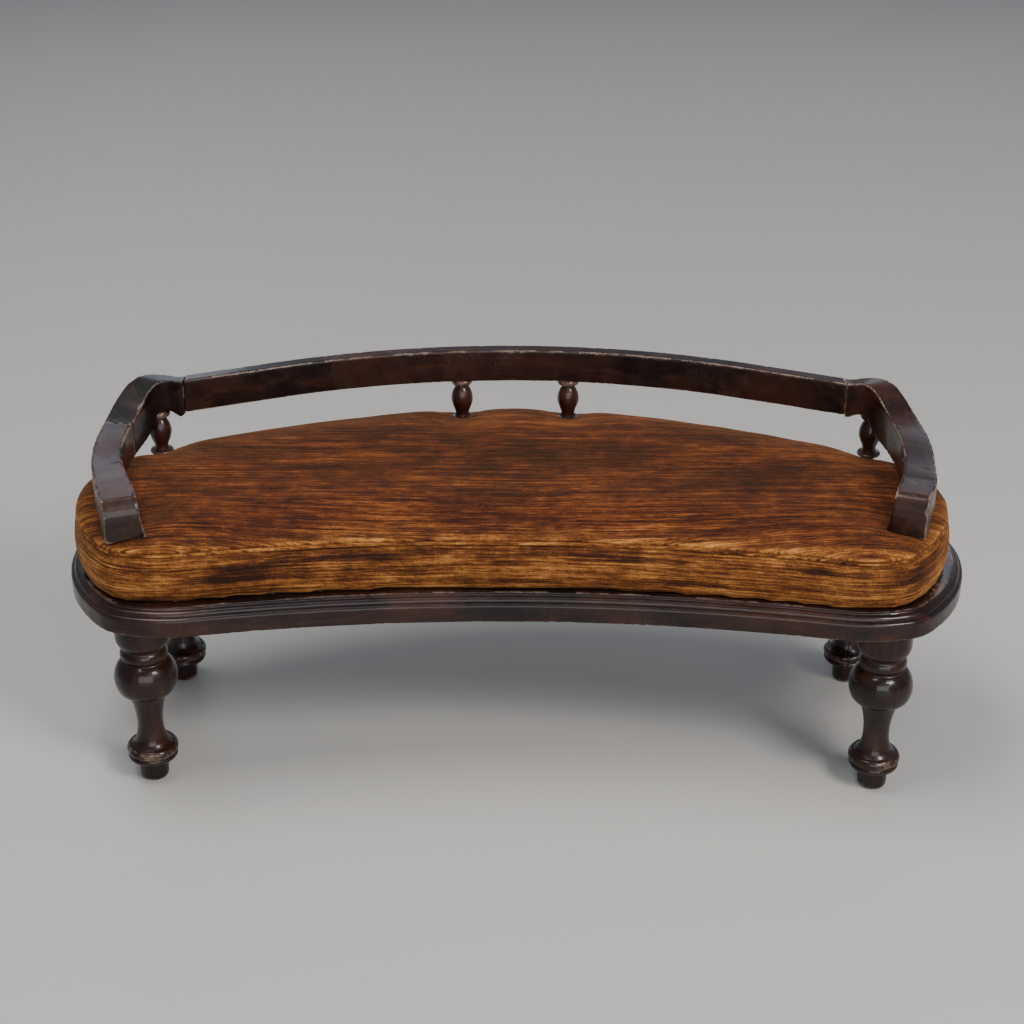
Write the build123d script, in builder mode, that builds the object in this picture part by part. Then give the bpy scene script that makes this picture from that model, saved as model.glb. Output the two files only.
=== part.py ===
"""Kneeling bench: a low, bowed bench with four turned legs, a moulded frame, a velvet seat
and a low gallery of arms, rail and turned spindles.

Millimetres, +Z up, -Y is the hollow front, origin on the floor under the middle of the bench.
"""
import math
import os

from build123d import *

os.makedirs("parts", exist_ok=True)

# ---------------------------------------------------------------- driving dimensions
# Frame: four boards, their outer edge an even chain of arcs
FRAME_BOTTOM = 168.0
FRAME_THICK = 25.5
FRAME_TOP = FRAME_BOTTOM + FRAME_THICK
RAIL_WIDTH = 62.0
JOINT_X = 292.0                 # where the long rails meet the end boards
FRONT_APEX_Y = -138.77          # middle of the hollow front edge
FRONT_RADIUS = 1400.0
# (radius, turn in degrees) from the middle of the front to the widest part and round the back;
# a negative turn is hollow, and one large arc closes the back
OUTLINE = ((FRONT_RADIUS, -11.7), (140.0, 26.0), (48.0, 33.0), (165.0, 42.7), (118.0, 55.0))

# Legs, set by eye by their maker: no two corners are quite alike
LEG_PLACES = {
    "front_left_leg": (-337.0, -134.5),
    "front_right_leg": (331.5, -142.0),
    "back_left_leg": (-337.0, 41.0),
    "back_right_leg": (333.0, 46.5),
}
LEG_TENON_R = 11.0
LEG_TENON_LENGTH = 14.0

# Gallery
RAIL_UNDER = 287.6
RAIL_TOP = 320.3
RAIL_THICK = 14.0
RAIL_FRONT_Y = 130.0            # front face in the middle
RAIL_RADIUS = 600.0
RAIL_ARC_X = 225.0              # the arc ends here and the rail runs on straight
RAIL_END_X = 314.0
GALLERY_SHIFT_X = -2.5          # the whole gallery sits a little to the left of the frame
SPINDLE_PLACES = {
    "spindle_middle_left": (-55.5, 137.0),
    "spindle_middle_right": (50.0, 137.0),
    "spindle_end_left": (-343.0, 55.5),
    "spindle_end_right": (338.5, 56.5),
}
SPINDLE_FOOT_Z = 244.0
SPINDLE_STEM_R = 5.5
SPINDLE_TENON_R = 3.0
SPINDLE_TENON_DOWN = 9.0
SPINDLE_TENON_UP = 14.0

# Arm foot: a post square to the arm's last run, which turns inwards by FOOT_ANGLE
FOOT_CENTRES = {1: (351.5, -111.5), -1: (-349.0, -127.5)}
FOOT_WIDTHS = {1: 31.0, -1: 32.0}
FOOT_ANGLE = 20.0
FOOT_FRONT = 14.0               # from the foot's centre to its front face at the bottom
FOOT_REAR = 9.0
FOOT_BACK = 22.0                # from the foot's centre back to the strap's last section

# Seat
SEAT_SHIFT_X = -4.0
SEAT_INSET = 12.0
COVER_THICK = 1.5
SEAM_Z = 239.0
CROWN_Z = 252.0
CROWN_ROUND = 11.0
PIPING_R = 2.3
PIPING_PROUD = 2.8              # how far the rolled seam stands out from the cover
FLANGE_WIDTH = 12.0
WEB_THICK = 1.5
WEB_WIDTH = 48.0
WEB_OVERLAP = 24.0
TACK_HEAD_R = 3.2
TACK_HEAD_THICK = 0.8
TACK_LENGTH = 10.0
HESSIAN_THICK = 0.9


# ---------------------------------------------------------------- helpers
def heading_vector(degrees):
    return (math.cos(math.radians(degrees)), math.sin(math.radians(degrees)), 0)


def half_outline(inset):
    """Right half of the frame's plan outline, moved inwards by inset."""
    start = Vector(0, FRONT_APEX_Y + inset, 0)
    heading = 0.0
    for radius, turn in OUTLINE:
        arc_radius = radius + inset if turn < 0 else radius - inset
        arc = JernArc(start, heading_vector(heading), arc_radius, turn)
        start, heading = arc @ 1, heading + turn
    back_turn = 180 - heading
    back_radius = start.X / math.sin(math.radians(back_turn))
    JernArc(start, heading_vector(heading), back_radius, back_turn)
    return back_radius, start.Y + back_radius * (1 - math.cos(math.radians(back_turn)))


def full_outline(inset):
    """Closed plan outline in the open BuildLine."""
    half_outline(inset)
    mirror(about=Plane.YZ)


with BuildLine():
    BACK_RADIUS, BACK_APEX_Y = half_outline(0)


def front_y(x, inset=0.0):
    """Y of the hollow front edge at x, moved inwards by inset."""
    centre_y = FRONT_APEX_Y - FRONT_RADIUS
    return centre_y + math.sqrt((FRONT_RADIUS + inset) ** 2 - x ** 2)


def back_y(x, inset=0.0):
    """Y of the bowed back edge at x, moved inwards by inset."""
    centre_y = BACK_APEX_Y - BACK_RADIUS
    return centre_y + math.sqrt((BACK_RADIUS - inset) ** 2 - x ** 2)


def finish(builder, label):
    builder.part.label = label
    export_step(builder.part, f"parts/{label}.step")


def seat_solid(inset, low, high, rounding):
    """Seat-shaped block between two heights, its top edge rounded."""
    with BuildPart(mode=Mode.PRIVATE) as block:
        with BuildSketch(Plane.XY.offset(low)):
            with BuildLine():
                full_outline(inset)
            make_face()
        extrude(amount=high - low)
        if rounding:
            fillet(block.edges().group_by(Axis.Z)[-1], rounding)
    return Pos(SEAT_SHIFT_X, 0, 0) * block.part


# ---------------------------------------------------------------- moulded frame
# Edge moulding cut away from the square edge: x is inwards from the outline, y is the height
NOSE_Z = 182.3
COVE_LOW = (3.6, 185.8)
COVE_HIGH = (7.6, 190.6)
BEAD_TOP = (8.8, 192.3)


def moulding_section():
    """Closed section of the moulding cutter in the open BuildLine."""
    nose = ThreePointArc((0, NOSE_Z), (0.9, 184.7), (3.0, COVE_LOW[1]))
    ledge = Line(nose @ 1, COVE_LOW)
    cove = ThreePointArc(ledge @ 1, (4.6, 189.2), COVE_HIGH)
    bead = ThreePointArc(cove @ 1, (7.7, 191.9), BEAD_TOP)
    quirk = Line(bead @ 1, (BEAD_TOP[0], FRAME_TOP + 1))
    Polyline(quirk @ 1, (-1, FRAME_TOP + 1), (-1, NOSE_Z), nose @ 0)


def end_blank(side):
    """Moulded end of the board beyond its joint, right (1) or left (-1), without holes."""
    with BuildLine(mode=Mode.PRIVATE) as right_edge:
        half_outline(0)
    edge = right_edge.line if side > 0 else mirror(right_edge.line, about=Plane.YZ)
    section_y = FRONT_APEX_Y if side > 0 else BACK_APEX_Y
    with BuildPart(mode=Mode.PRIVATE) as half_board:
        with BuildSketch(Plane.XY.offset(FRAME_BOTTOM)):
            with BuildLine():
                add(edge)
                Line((0, FRONT_APEX_Y), (0, BACK_APEX_Y))
            make_face()
        extrude(amount=FRAME_THICK)
        with BuildLine() as edge_path:
            add(edge)
        with BuildSketch(Plane(origin=(0, section_y, 0), x_dir=(0, side, 0), z_dir=(side, 0, 0))):
            with BuildLine():
                moulding_section()
            make_face()
        sweep(path=edge_path.wires()[0], transition=Transition.ROUND, mode=Mode.SUBTRACT)
        split(bisect_by=Plane.YZ.offset(side * JOINT_X), keep=Keep.TOP if side > 0 else Keep.BOTTOM)
    return half_board.part


with BuildPart() as moulded_board:
    with BuildSketch(Plane.XY.offset(FRAME_BOTTOM)):
        with BuildLine():
            full_outline(0)
        make_face()
    extrude(amount=FRAME_THICK)
    with BuildLine() as edge_path:
        full_outline(0)
    with BuildSketch(Plane(origin=(0, FRONT_APEX_Y, 0), x_dir=(0, 1, 0), z_dir=(1, 0, 0))):
        with BuildLine():
            moulding_section()
        make_face()
    sweep(path=edge_path.wires()[0], transition=Transition.ROUND, mode=Mode.SUBTRACT)

foot_turn = math.radians(FOOT_ANGLE)
middle_spindles = [SPINDLE_PLACES["spindle_middle_left"], SPINDLE_PLACES["spindle_middle_right"]]

# Dowels across the four board joints, two to a joint
DOWEL_R = 4.75
DOWEL_HALF = 28.0
DOWEL_Z = FRAME_BOTTOM + FRAME_THICK / 2 - 1
dowel_seats = [
    (side * JOINT_X, y, DOWEL_Z)
    for side in (-1, 1)
    for y in (front_y(JOINT_X, 18), front_y(JOINT_X, 46), back_y(JOINT_X, 30), back_y(JOINT_X, 44))
]


def foot_point(side, outward, forward):
    """Plan point measured from the centre of the arm foot on one side."""
    centre_x, centre_y = FOOT_CENTRES[side]
    return (centre_x + side * (outward * math.cos(foot_turn) - forward * math.sin(foot_turn)),
            centre_y - outward * math.sin(foot_turn) - forward * math.cos(foot_turn))


# Fixings of the arm feet: one dowel down, one screw up from under the board
ARM_FIXING_OFFSET = 7.0
ARM_DOWEL_R = 4.0
ARM_DOWEL_DOWN = 9.0
ARM_DOWEL_UP = 17.0
SCREW_R = 2.2
SCREW_HEAD_R = 4.4
SCREW_HEAD_DEPTH = 3.0
SCREW_TIP_Z = 226.0
arm_dowel_seats = [foot_point(side, -ARM_FIXING_OFFSET, 4) for side in (-1, 1)]
arm_screw_seats = [foot_point(side, ARM_FIXING_OFFSET, 4) for side in (-1, 1)]

with BuildPart() as arm_foot_dowels:
    with BuildSketch(Plane.XY.offset(FRAME_TOP - ARM_DOWEL_DOWN)):
        with Locations(*arm_dowel_seats):
            Circle(ARM_DOWEL_R)
    extrude(amount=ARM_DOWEL_DOWN + ARM_DOWEL_UP)

with BuildPart() as single_screw:
    with BuildSketch(Plane.XZ):
        with BuildLine():
            Polyline((0, FRAME_BOTTOM), (SCREW_HEAD_R, FRAME_BOTTOM),
                     (SCREW_R, FRAME_BOTTOM + SCREW_HEAD_DEPTH), (SCREW_R, SCREW_TIP_Z - 6),
                     (0, SCREW_TIP_Z), close=True)
        make_face()
    revolve(axis=Axis.Z)

with BuildPart() as arm_foot_screws:
    for screw_x, screw_y in arm_screw_seats:
        add(Pos(screw_x, screw_y, 0) * single_screw.part)

with BuildPart() as rail_dowels:
    for seat in dowel_seats:
        with Locations(seat):
            Cylinder(DOWEL_R, 2 * DOWEL_HALF, rotation=(0, 90, 0))


def cut_bores():
    """Holes for legs, spindles, arm fixings and rail dowels in the board being built."""
    with Locations(*[(x, y, FRAME_BOTTOM) for x, y in LEG_PLACES.values()]):
        Cylinder(LEG_TENON_R, LEG_TENON_LENGTH, mode=Mode.SUBTRACT,
                 align=(Align.CENTER, Align.CENTER, Align.MIN))
    with Locations(*[(x, y, FRAME_TOP) for x, y in SPINDLE_PLACES.values()]):
        Cylinder(SPINDLE_TENON_R, SPINDLE_TENON_DOWN, mode=Mode.SUBTRACT,
                 align=(Align.CENTER, Align.CENTER, Align.MAX))
    add(arm_foot_dowels.part, mode=Mode.SUBTRACT)
    add(arm_foot_screws.part, mode=Mode.SUBTRACT)
    add(rail_dowels.part, mode=Mode.SUBTRACT)


BOARD_REACH = 500.0
with BuildPart() as front_rail:
    add(moulded_board.part)
    cut_bores()
    with BuildSketch(Plane.XY) as front_strip:
        with BuildLine():
            inner_edge = ThreePointArc((-JOINT_X, front_y(JOINT_X, RAIL_WIDTH)),
                                       (0, front_y(0, RAIL_WIDTH)),
                                       (JOINT_X, front_y(JOINT_X, RAIL_WIDTH)))
            Polyline(inner_edge @ 1, (JOINT_X, -BOARD_REACH), (-JOINT_X, -BOARD_REACH),
                     inner_edge @ 0)
        make_face()
    extrude(amount=BOARD_REACH, mode=Mode.INTERSECT)

with BuildPart() as back_rail:
    add(moulded_board.part)
    cut_bores()
    with BuildSketch(Plane.XY) as back_strip:
        with BuildLine():
            inner_edge = ThreePointArc((-JOINT_X, back_y(JOINT_X, RAIL_WIDTH)),
                                       (0, back_y(0, RAIL_WIDTH)),
                                       (JOINT_X, back_y(JOINT_X, RAIL_WIDTH)))
            Polyline(inner_edge @ 1, (JOINT_X, BOARD_REACH), (-JOINT_X, BOARD_REACH),
                     inner_edge @ 0)
        make_face()
    extrude(amount=BOARD_REACH, mode=Mode.INTERSECT)

with BuildPart() as right_end_board:
    add(end_blank(1))
    cut_bores()

with BuildPart() as left_end_board:
    add(end_blank(-1))
    cut_bores()

finish(front_rail, "front_rail")
finish(back_rail, "back_rail")
finish(right_end_board, "right_end_board")
finish(left_end_board, "left_end_board")
finish(rail_dowels, "rail_dowels")


# ---------------------------------------------------------------- turned legs
with BuildPart() as turned_leg:
    with BuildSketch(Plane.XZ):
        with BuildLine():
            tenon = Polyline((0, FRAME_BOTTOM + LEG_TENON_LENGTH),
                             (LEG_TENON_R, FRAME_BOTTOM + LEG_TENON_LENGTH),
                             (LEG_TENON_R, FRAME_BOTTOM), (24.6, FRAME_BOTTOM), (24.8, 152))
            cup = ThreePointArc(tenon @ 1, (23.2, 145), (19.4, 140.2))
            collar = ThreePointArc(Line(cup @ 1, (19.4, 138.6)) @ 1, (21.7, 134), (20.4, 128.4))
            shoulder = Line(collar @ 1, (19.8, 126.6))
            bulb_top = Spline(shoulder @ 1, (26.4, 119.5), (28.9, 108), (27.2, 98.5),
                              (19.6, 91.0), tangents=((0.6, -0.45), (-0.8, -0.42)))
            bulb_step = Line(bulb_top @ 1, (17.4, 89.8))
            waist = Spline(bulb_step @ 1, (14.4, 80), (11.9, 60), (13.6, 45), (18.6, 36.8),
                           tangents=((-0.35, -1), (0.85, -0.5)))
            flange = ThreePointArc(waist @ 1, (23.7, 32.2), (22.6, 28.2))
            groove = ThreePointArc(flange @ 1, (21.6, 27.6), (22.0, 26.8))
            lower_ring = ThreePointArc(groove @ 1, (22.9, 24.4), (21.2, 21.8))
            Polyline(lower_ring @ 1, (14.4, 19.2), (13.6, 17.5), (13.2, 4.5), (10.8, 0.0),
                     (0, 0), (0, FRAME_BOTTOM + LEG_TENON_LENGTH))
        make_face()
    revolve(axis=Axis.Z)

for leg_name, (leg_x, leg_y) in LEG_PLACES.items():
    with BuildPart() as leg:
        add(Pos(leg_x, leg_y, 0) * turned_leg.part)
    finish(leg, leg_name)


# ---------------------------------------------------------------- gallery spindles
NECK_R = 6.4
with BuildPart() as turned_spindle:
    with BuildSketch(Plane.XZ):
        with BuildLine():
            lower = Polyline((0, FRAME_TOP - SPINDLE_TENON_DOWN),
                             (SPINDLE_TENON_R, FRAME_TOP - SPINDLE_TENON_DOWN),
                             (SPINDLE_TENON_R, FRAME_TOP), (SPINDLE_STEM_R, FRAME_TOP),
                             (SPINDLE_STEM_R, SPINDLE_FOOT_Z), (10.2, SPINDLE_FOOT_Z))
            foot_ring = ThreePointArc(lower @ 1, (11.2, SPINDLE_FOOT_Z + 1.6),
                                      (10.2, SPINDLE_FOOT_Z + 3.4))
            foot_top = Line(foot_ring @ 1, (NECK_R + 0.6, SPINDLE_FOOT_Z + 4.4))
            bulb = Spline(foot_top @ 1, (NECK_R, 251.5), (9.0, 259), (10.7, 267), (9.2, 274),
                          (NECK_R, 279.5), tangents=((-0.2, 1), (-0.5, 1)))
            top_neck = Line(bulb @ 1, (NECK_R, 281.2))
            top_ring = ThreePointArc((NECK_R, 281.2), (10.5, 284.6), (9.4, RAIL_UNDER))
            Polyline(top_ring @ 1, (SPINDLE_TENON_R, RAIL_UNDER),
                     (SPINDLE_TENON_R, RAIL_UNDER + SPINDLE_TENON_UP),
                     (0, RAIL_UNDER + SPINDLE_TENON_UP), (0, FRAME_TOP - SPINDLE_TENON_DOWN))
        make_face()
    revolve(axis=Axis.Z)

for spindle_name, (spindle_x, spindle_y) in SPINDLE_PLACES.items():
    with BuildPart() as spindle:
        add(Pos(spindle_x, spindle_y, 0) * turned_spindle.part)
    finish(spindle, spindle_name)


# ---------------------------------------------------------------- gallery rail
rail_turn = math.asin(RAIL_ARC_X / RAIL_RADIUS)
rail_centre_y = RAIL_FRONT_Y - RAIL_RADIUS
rail_ends = {side: side * RAIL_END_X + GALLERY_SHIFT_X for side in (-1, 1)}


def rail_arc_end(offset):
    """Where the arc of one long face ends; offset is measured back from the front face."""
    radius = RAIL_RADIUS + offset
    return radius * math.sin(rail_turn), rail_centre_y + radius * math.cos(rail_turn)


def rail_end_y(offset):
    """Y of that face at the end of its straight run."""
    arc_x, arc_y = rail_arc_end(offset)
    return arc_y - (RAIL_END_X - arc_x) * math.tan(rail_turn)


def rail_face(offset):
    """One long face of the rail in plan: an arc with a straight run at each end."""
    arc_x, arc_y = rail_arc_end(offset)
    arc = ThreePointArc((GALLERY_SHIFT_X - arc_x, arc_y), (GALLERY_SHIFT_X, RAIL_FRONT_Y + offset),
                        (GALLERY_SHIFT_X + arc_x, arc_y))
    Line(arc @ 0, (rail_ends[-1], rail_end_y(offset)))
    Line(arc @ 1, (rail_ends[1], rail_end_y(offset)))


# Dowels between rail and arms lie half way between the rail's run and the arm's
ARM_JOINT_DOWEL_R = 3.0
ARM_JOINT_DOWEL_HALF = 17.0
joint_middle_y = (rail_end_y(0) + rail_end_y(RAIL_THICK)) / 2
with BuildPart() as arm_rail_dowels:
    for side in (-1, 1):
        for dowel_z in (RAIL_UNDER + 9, RAIL_TOP - 9):
            with Locations(Location((rail_ends[side], joint_middle_y, dowel_z),
                                    (0, 0, -side * math.degrees(rail_turn) / 2))):
                Cylinder(ARM_JOINT_DOWEL_R, 2 * ARM_JOINT_DOWEL_HALF, rotation=(0, 90, 0))

with BuildPart() as gallery_rail:
    with BuildSketch(Plane.XY.offset(RAIL_UNDER)):
        with BuildLine():
            rail_face(0)
            rail_face(RAIL_THICK)
            for side in (-1, 1):
                Line((rail_ends[side], rail_end_y(0)), (rail_ends[side], rail_end_y(RAIL_THICK)))
        make_face()
    extrude(amount=RAIL_TOP - RAIL_UNDER)
    long_top_edges = gallery_rail.edges().group_by(Axis.Z)[-1].filter_by(Axis.Y, reverse=True)
    fillet(long_top_edges, 1.2)
    with Locations(*[(x, y, RAIL_UNDER) for x, y in middle_spindles]):
        Cylinder(SPINDLE_TENON_R, SPINDLE_TENON_UP, mode=Mode.SUBTRACT,
                 align=(Align.CENTER, Align.CENTER, Align.MIN))
    add(arm_rail_dowels.part, mode=Mode.SUBTRACT)
finish(gallery_rail, "gallery_rail")
finish(arm_rail_dowels, "arm_rail_dowels")


# ---------------------------------------------------------------- arms
# Stations of each strap from the rail joint forwards, on the right-hand side of the bench:
# inner x, inner y, outer x, outer y, underside z, top z
JOINT_STATION = {
    side: (side * rail_ends[side], rail_end_y(0), side * rail_ends[side], rail_end_y(RAIL_THICK),
           RAIL_UNDER, RAIL_TOP)
    for side in (-1, 1)
}
STRAP_HEIGHTS = ((RAIL_UNDER, RAIL_TOP), (285.0, 319.5), (275.0, 315.0), (268.5, 307.5),
                 (266.0, 301.0), (264.5, 297.5), (263.5, 295.0), (262.5, 292.5), (261.5, 291.0))
STRAP_PLANS = {
    1: ((322, 51.0, 332, 65.4), (331.5, 47.0, 351, 63.0), (338, 39.0, 361, 51.5),
        (343.5, 28.0, 368, 37.5), (348, 14.0, 374, 20.0), (351.5, -8.0, 378, -6.0),
        (353, -31.0, 379.5, -33.0), (351, -54.0, 378, -59.0), (348, -71.0, 376, -78.5)),
    -1: ((329, 50.6, 339, 65.6), (339, 47.5, 361, 63.5), (346, 39.5, 371, 53.0),
         (351, 29.0, 378, 38.5), (355, 15.0, 382.5, 20.0), (358.5, -8.0, 385.5, -6.0),
         (360, -32.0, 386.5, -34.0), (357.5, -57.0, 384, -62.5), (350.5, -80.0, 378.5, -88.5)),
}
STRAP_END_UNDER = 260.5
STRAP_END_TOP = 289.6
ARM_CREASE_Z = 287.6
SPINDLE_SEAT_R = 11.2


def arm_solid(side):
    """One whole arm, strap and foot, as it would lie on the right; mirrored for the left."""
    foot_middle = Vector(side * FOOT_CENTRES[side][0], FOOT_CENTRES[side][1], 0)
    forward = Vector(-math.sin(foot_turn), -math.cos(foot_turn), 0)
    outward = Vector(math.cos(foot_turn), -math.sin(foot_turn), 0)
    half_width = FOOT_WIDTHS[side] / 2
    stations = [JOINT_STATION[side]]
    stations += [plan + heights for plan, heights in zip(STRAP_PLANS[side], STRAP_HEIGHTS)]
    with BuildPart(mode=Mode.PRIVATE) as arm:
        for inner_x, inner_y, outer_x, outer_y, low, high in stations:
            across = Vector(outer_x - inner_x, outer_y - inner_y, 0)
            station = Plane(origin=(inner_x, inner_y, 0), x_dir=across,
                            z_dir=across.cross(Vector(0, 0, 1)))
            with BuildSketch(station):
                with BuildLine():
                    Polyline((0, low), (across.length, low), (across.length, high), (0, high),
                             close=True)
                make_face()
        with BuildSketch(Plane(origin=foot_middle - forward * FOOT_BACK, x_dir=outward,
                               z_dir=forward)):
            with BuildLine():
                Polyline((-half_width, STRAP_END_UNDER), (half_width, STRAP_END_UNDER),
                         (half_width, STRAP_END_TOP), (-half_width, STRAP_END_TOP), close=True)
            make_face()
        loft()
        with BuildSketch(Plane(origin=foot_middle, x_dir=forward, z_dir=-outward)):
            with BuildLine():
                crease = Polyline((-FOOT_BACK, STRAP_END_UNDER), (-FOOT_BACK, STRAP_END_TOP),
                                  (8.0, ARM_CREASE_Z))
                nose = ThreePointArc(crease @ 1, (15.2, 279.5), (17.4, 266.0))
                shin = Polyline(nose @ 1, (FOOT_FRONT, FRAME_TOP), (-FOOT_REAR, FRAME_TOP),
                                (-FOOT_REAR, CROWN_Z + 1))
                ThreePointArc(shin @ 1, (-12.2, 258.4), crease @ 0)
            make_face()
        extrude(amount=half_width, both=True)
    return arm.part if side > 0 else mirror(arm.part, about=Plane.YZ)


def cut_arm_seats(side):
    """Trim to the rail, then the end spindle's seat and tenon hole and all fixing bores."""
    add(gallery_rail.part, mode=Mode.SUBTRACT)
    spindle_x, spindle_y = SPINDLE_PLACES["spindle_end_right" if side > 0 else "spindle_end_left"]
    with Locations((spindle_x, spindle_y, RAIL_UNDER)):
        Cylinder(SPINDLE_SEAT_R, 40, mode=Mode.SUBTRACT,
                 align=(Align.CENTER, Align.CENTER, Align.MAX))
        Cylinder(SPINDLE_TENON_R, SPINDLE_TENON_UP, mode=Mode.SUBTRACT,
                 align=(Align.CENTER, Align.CENTER, Align.MIN))
    for fixing in (arm_rail_dowels, arm_foot_dowels, arm_foot_screws):
        add(fixing.part, mode=Mode.SUBTRACT)


plain_arms = {side: arm_solid(side) for side in (-1, 1)}
with BuildPart() as right_arm:
    add(plain_arms[1])
    cut_arm_seats(1)

# The left arm is in two pieces, spliced across the strap
SPLICE = Plane(origin=(-369.0, 1.5, 0), z_dir=(0.12, 1, 0))
with BuildPart() as whole_left_arm:
    add(plain_arms[-1])
    cut_arm_seats(-1)
with BuildPart() as left_arm_corner:
    add(whole_left_arm.part)
    split(bisect_by=SPLICE, keep=Keep.TOP)
with BuildPart() as left_arm:
    add(whole_left_arm.part)
    split(bisect_by=SPLICE, keep=Keep.BOTTOM)

finish(right_arm, "right_arm")
finish(left_arm, "left_arm")
finish(left_arm_corner, "left_arm_corner")
finish(arm_foot_dowels, "arm_foot_dowels")
finish(arm_foot_screws, "arm_foot_screws")


# ---------------------------------------------------------------- seat support
def tack(head_under):
    """One upholstery tack, its head lying on head_under."""
    with BuildPart(mode=Mode.PRIVATE) as nail:
        with BuildSketch(Plane.XZ):
            with BuildLine():
                Polyline((0, head_under + TACK_HEAD_THICK), (TACK_HEAD_R, head_under + 0.3),
                         (TACK_HEAD_R, head_under), (0.9, head_under),
                         (0, head_under - TACK_LENGTH), close=True)
            make_face()
        revolve(axis=Axis.Z)
    return nail.part


# Long straps: y and reach from the middle; the back one stops on the bowed back rail
FULL_REACH = JOINT_X + WEB_OVERLAP
LONG_STRAPS = ((-52.0, FULL_REACH), (2.0, FULL_REACH), (56.0, 258.0))
CROSS_STRAP_X = [step * 86.0 for step in range(-3, 4)]
cross_low = FRAME_TOP + WEB_THICK
hessian_low = cross_low + WEB_THICK + TACK_HEAD_THICK
pad_low = hessian_low + HESSIAN_THICK

with BuildPart() as webbing_long:
    with BuildSketch(Plane.XY.offset(FRAME_TOP)):
        for strap_y, reach in LONG_STRAPS:
            with Locations((0, strap_y)):
                Rectangle(2 * reach, WEB_WIDTH)
    extrude(amount=WEB_THICK)

cross_ends = {
    x: (front_y(x, RAIL_WIDTH) - WEB_OVERLAP, back_y(x, RAIL_WIDTH) + WEB_OVERLAP)
    for x in CROSS_STRAP_X
}
with BuildPart() as webbing_cross:
    with BuildSketch(Plane.XY.offset(cross_low)):
        for strap_x, (strap_front, strap_back) in cross_ends.items():
            with Locations((strap_x, (strap_front + strap_back) / 2)):
                Rectangle(WEB_WIDTH, strap_back - strap_front)
    extrude(amount=WEB_THICK)

TACK_MARGIN = 10.0
TACK_STEP = 17.0
with BuildPart() as webbing_tacks:
    long_tack = tack(FRAME_TOP + WEB_THICK)
    cross_tack = tack(cross_low + WEB_THICK)
    for step in (-1, 0, 1):
        for strap_y, reach in LONG_STRAPS:
            for side in (-1, 1):
                add(Pos(side * (reach - TACK_MARGIN), strap_y + step * TACK_STEP, 0) * long_tack)
        for strap_x, (strap_front, strap_back) in cross_ends.items():
            for tack_y in (strap_front + TACK_MARGIN, strap_back - TACK_MARGIN):
                add(Pos(strap_x + step * TACK_STEP, tack_y, 0) * cross_tack)

# What passes through the seat: the arm feet and the spindles with their foot rings
PASSAGE_TOP = 280.0
with BuildPart() as seat_passages:
    add(plain_arms[-1])
    add(plain_arms[1])
    with BuildSketch(Plane.XY.offset(FRAME_TOP)):
        with Locations(*SPINDLE_PLACES.values()):
            Circle(SPINDLE_STEM_R)
    extrude(amount=PASSAGE_TOP - FRAME_TOP)
    with BuildSketch(Plane.XY.offset(SPINDLE_FOOT_Z)):
        with Locations(*SPINDLE_PLACES.values()):
            Circle(SPINDLE_SEAT_R + 0.4)
    extrude(amount=PASSAGE_TOP - SPINDLE_FOOT_Z)

# Tacks through the turned-in bottom edge of the cover, clear of all that passes through it
COVER_TACK_INSET = SEAT_INSET + COVER_THICK + FLANGE_WIDTH / 2
COVER_TACK_COUNT = 44
with BuildLine() as tack_line:
    full_outline(COVER_TACK_INSET)
tack_wire = tack_line.wires()[0]
passage_places = [(x, y, 14.0) for x, y in SPINDLE_PLACES.values()]
passage_places += [(*foot_point(side, 0, 4), 26.0) for side in (-1, 1)]
with BuildPart() as cover_tacks:
    cover_tack = tack(FRAME_TOP + COVER_THICK)
    for step in range(COVER_TACK_COUNT):
        spot = tack_wire @ (step / COVER_TACK_COUNT) + Vector(SEAT_SHIFT_X, 0, 0)
        if all(math.hypot(spot.X - x, spot.Y - y) > clear for x, y, clear in passage_places):
            add(Pos(spot.X, spot.Y, 0) * cover_tack)

with BuildPart() as hessian:
    add(seat_solid(SEAT_INSET + COVER_THICK + 1, hessian_low, pad_low, 0))
    add(seat_passages.part, mode=Mode.SUBTRACT)

with BuildPart() as stuffing:
    add(seat_solid(SEAT_INSET + COVER_THICK, pad_low, CROWN_Z - COVER_THICK,
                   CROWN_ROUND - COVER_THICK))
    add(seat_passages.part, mode=Mode.SUBTRACT)

with BuildPart() as cover_shell:
    add(seat_solid(SEAT_INSET, FRAME_TOP, CROWN_Z, CROWN_ROUND))
    add(seat_solid(SEAT_INSET + COVER_THICK, FRAME_TOP + COVER_THICK, CROWN_Z - COVER_THICK,
                   CROWN_ROUND - COVER_THICK), mode=Mode.SUBTRACT)
    add(seat_solid(SEAT_INSET + COVER_THICK + FLANGE_WIDTH, FRAME_TOP,
                   FRAME_TOP + COVER_THICK, 0), mode=Mode.SUBTRACT)
    add(seat_passages.part, mode=Mode.SUBTRACT)

with BuildPart() as velvet_border:
    add(cover_shell.part)
    split(bisect_by=Plane.XY.offset(SEAM_Z), keep=Keep.BOTTOM)

with BuildPart() as velvet_top:
    add(cover_shell.part)
    split(bisect_by=Plane.XY.offset(SEAM_Z), keep=Keep.TOP)

with BuildPart() as piping_ring:
    with BuildSketch(Plane.XY.offset(SEAM_Z - PIPING_R)):
        with BuildLine():
            full_outline(SEAT_INSET - PIPING_PROUD)
        make_face()
    extrude(amount=2 * PIPING_R)
    chamfer(piping_ring.edges().group_by(Axis.Z)[0] + piping_ring.edges().group_by(Axis.Z)[-1], 1.4)
    with BuildSketch(Plane.XY.offset(SEAM_Z - PIPING_R)):
        with BuildLine():
            full_outline(SEAT_INSET)
        make_face()
    extrude(amount=2 * PIPING_R, mode=Mode.SUBTRACT)

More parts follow.
